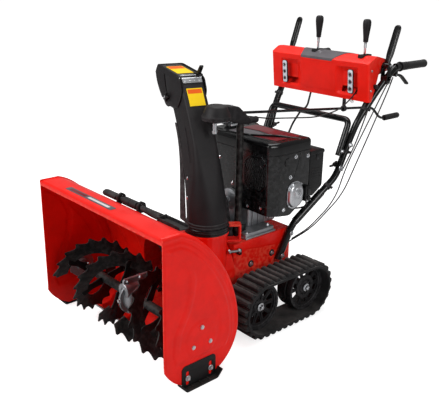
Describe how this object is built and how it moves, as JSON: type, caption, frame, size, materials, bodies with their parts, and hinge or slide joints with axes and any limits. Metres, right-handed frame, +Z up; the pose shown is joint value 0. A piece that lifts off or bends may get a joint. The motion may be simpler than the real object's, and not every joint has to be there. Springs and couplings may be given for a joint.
{
  "type": "two stage snowblower",
  "caption": "Tracked two stage snowblower: auger housing, impeller, turning chute with tilting deflector, engine, handles with console and clutch levers.",
  "frame": {"origin": "on the ground, under the middle of the machine's box at rest", "axes": "+Z up; the machine faces -Y; +X is the operator's left"},
  "size_m": [0.76, 1.4, 1.056],
  "materials": {
    "red_paint": "gloss enamel",
    "red_plastic": "satin moulded",
    "black_paint": "satin enamel",
    "black_plastic": "textured moulded",
    "gloss_black": "gloss dipped",
    "grip_rubber": "matte ribbed",
    "track_rubber": "matte moulded",
    "steel": "zinc plated",
    "cast_metal": "as cast",
    "chrome_rod": "bright",
    "lamp_lens": "clear moulded"
  },
  "bodies": {
    "chassis": {"auger_housing": "red_paint", "scraper_bar": "steel", "left_auger_bearing": "cast_metal", "right_auger_bearing": "cast_metal", "gearbox_case": "cast_metal", "impeller_housing": "red_paint", "chute_drive_cover": "black_plastic", "chute_column": "black_paint", "drive_belt": "track_rubber", "belt_cover": "black_plastic", "frame": "red_paint", "left_track_beam": "black_paint", "right_track_beam": "black_paint", "left_track": "track_rubber", "right_track": "track_rubber", "engine_block": "cast_metal", "engine_shroud": "black_plastic", "rear_cover": "black_plastic", "recoil_housing": "black_paint", "fuel_tank": "black_paint", "muffler": "steel", "starter_motor": "cast_metal", "left_handle_tube": "black_paint", "right_handle_tube": "black_paint", "left_grip": "grip_rubber", "right_grip": "grip_rubber", "handle_brace": "black_paint", "console": "red_plastic", "left_headlamp": "lamp_lens", "right_headlamp": "lamp_lens"},
    "left_shoe": {"left_skid_shoe": "black_paint"},
    "right_shoe": {"right_skid_shoe": "black_paint"},
    "auger": {"auger_shaft": "steel", "left_auger": "black_paint", "right_auger": "black_paint", "worm_wheel": "steel"},
    "impeller": {"impeller_shaft": "steel", "impeller": "black_paint", "impeller_pulley": "cast_metal"},
    "crankshaft": {"crankshaft_pulley": "cast_metal"},
    "tool": {"clean_out_tool": "black_plastic"},
    "chute": {"chute_ring": "black_plastic", "chute_body": "black_plastic"},
    "deflector": {"chute_deflector": "black_plastic"},
    "crank": {"crank_rod": "black_paint"},
    "crank_grip": {"crank_grip": "grip_rubber"},
    "left_drive": {"left_drive_axle": "steel", "left_drive_wheel": "black_plastic"},
    "right_drive": {"right_drive_axle": "steel", "right_drive_wheel": "black_plastic"},
    "left_idler": {"left_idler_wheel": "black_plastic"},
    "right_idler": {"right_idler_wheel": "black_plastic"},
    "recoil_grip": {"recoil_handle": "grip_rubber"},
    "fuel_cap": {"fuel_cap": "black_plastic"},
    "left_clutch": {"left_clutch_lever": "gloss_black"},
    "right_clutch": {"right_clutch_lever": "gloss_black"},
    "left_trigger": {"left_steering_trigger": "black_paint"},
    "right_trigger": {"right_steering_trigger": "black_paint"},
    "speed_lever": {"speed_lever": "chrome_rod"},
    "deflector_lever": {"deflector_lever": "chrome_rod"}
  },
  "joints": [
    {"name": "impeller_spin", "type": "hinge", "parent": "chassis", "child": "impeller", "pos_m": [0, -0.3, 0.187], "axis": [0, -1, 0], "continuous": true},
    {"name": "auger_spin", "type": "hinge", "parent": "chassis", "child": "auger", "pos_m": [0, -0.5585, 0.1546], "axis": [1, 0, 0], "continuous": true},
    {"name": "engine_spin", "type": "hinge", "parent": "chassis", "child": "crankshaft", "pos_m": [0, -0.189, 0.415], "axis": [0, -1, 0], "continuous": true},
    {"name": "left_track_drive", "type": "hinge", "parent": "chassis", "child": "left_drive", "pos_m": [0.24, 0.022, 0.107], "axis": [1, 0, 0], "continuous": true},
    {"name": "right_track_drive", "type": "hinge", "parent": "chassis", "child": "right_drive", "pos_m": [-0.24, 0.022, 0.107], "axis": [1, 0, 0], "continuous": true},
    {"name": "left_idler_spin", "type": "hinge", "parent": "chassis", "child": "left_idler", "pos_m": [0.24, -0.216, 0.107], "axis": [1, 0, 0], "continuous": true},
    {"name": "right_idler_spin", "type": "hinge", "parent": "chassis", "child": "right_idler", "pos_m": [-0.24, -0.216, 0.107], "axis": [1, 0, 0], "continuous": true},
    {"name": "chute_turn", "type": "hinge", "parent": "chassis", "child": "chute", "pos_m": [0.082, -0.303, 0.37], "axis": [0, 0, 1], "range_deg": [0, 190]},
    {"name": "crank_turn", "type": "hinge", "parent": "chassis", "child": "crank", "pos_m": [0.086, -0.142, 0.756], "axis": [0.0808, 0.9936, -0.0793], "range_deg": [-10, 1150]},
    {"name": "crank_grip_spin", "type": "hinge", "parent": "crank", "child": "crank_grip", "pos_m": [0.146, 0.65, 0.65], "axis": [0, 1, 0], "continuous": true},
    {"name": "deflector_tilt", "type": "hinge", "parent": "chute", "child": "deflector", "pos_m": [-0.04937, -0.2678, 0.871], "axis": [-0.2588, -0.9659, 0], "range_deg": [0, 36]},
    {"name": "deflector_lever_tilt", "type": "hinge", "parent": "chassis", "child": "deflector_lever", "pos_m": [0.186, 0.38, 0.872], "axis": [1, 0, 0], "range_deg": [-2, 18]},
    {"name": "speed_lever_tilt", "type": "hinge", "parent": "chassis", "child": "speed_lever", "pos_m": [-0.042, 0.38, 0.872], "axis": [1, 0, 0], "range_deg": [-18, 18]},
    {"name": "left_clutch_press", "type": "hinge", "parent": "chassis", "child": "left_clutch", "pos_m": [0.246, 0.442, 0.888], "axis": [-1, 0, 0], "range_deg": [0, 60]},
    {"name": "left_trigger_squeeze", "type": "hinge", "parent": "chassis", "child": "left_trigger", "pos_m": [0.246, 0.496, 0.849], "axis": [1, 0, 0], "range_deg": [0, 14]},
    {"name": "left_shoe_height", "type": "slide", "parent": "chassis", "child": "left_shoe", "axis": [0, 0, 1], "range_m": [-0.02, 0.01]},
    {"name": "right_clutch_press", "type": "hinge", "parent": "chassis", "child": "right_clutch", "pos_m": [-0.246, 0.442, 0.888], "axis": [-1, 0, 0], "range_deg": [0, 60]},
    {"name": "right_trigger_squeeze", "type": "hinge", "parent": "chassis", "child": "right_trigger", "pos_m": [-0.246, 0.496, 0.849], "axis": [1, 0, 0], "range_deg": [0, 14]},
    {"name": "right_shoe_height", "type": "slide", "parent": "chassis", "child": "right_shoe", "axis": [0, 0, 1], "range_m": [-0.02, 0.01]},
    {"name": "tool_lift", "type": "slide", "parent": "chassis", "child": "tool", "axis": [0, 0, 1], "range_m": [0, 0.08]},
    {"name": "recoil_pull", "type": "slide", "parent": "chassis", "child": "recoil_grip", "axis": [0, 0.9507, 0.3102], "range_m": [0, 0.7]},
    {"name": "fuel_cap_turn", "type": "hinge", "parent": "chassis", "child": "fuel_cap", "pos_m": [-0.142, 0.015, 0.665], "axis": [0, 0, 1], "range_deg": [0, 90]}
  ],
  "couplings": [
    {"joint": "auger_spin", "follows": "impeller_spin", "ratio": 0.1},
    {"joint": "engine_spin", "follows": "impeller_spin", "ratio": 3.029},
    {"joint": "left_idler_spin", "follows": "left_track_drive", "ratio": 1},
    {"joint": "right_idler_spin", "follows": "right_track_drive", "ratio": 1},
    {"joint": "crank_turn", "follows": "chute_turn", "ratio": 6},
    {"joint": "deflector_lever_tilt", "follows": "deflector_tilt", "ratio": 0.45}
  ]
}
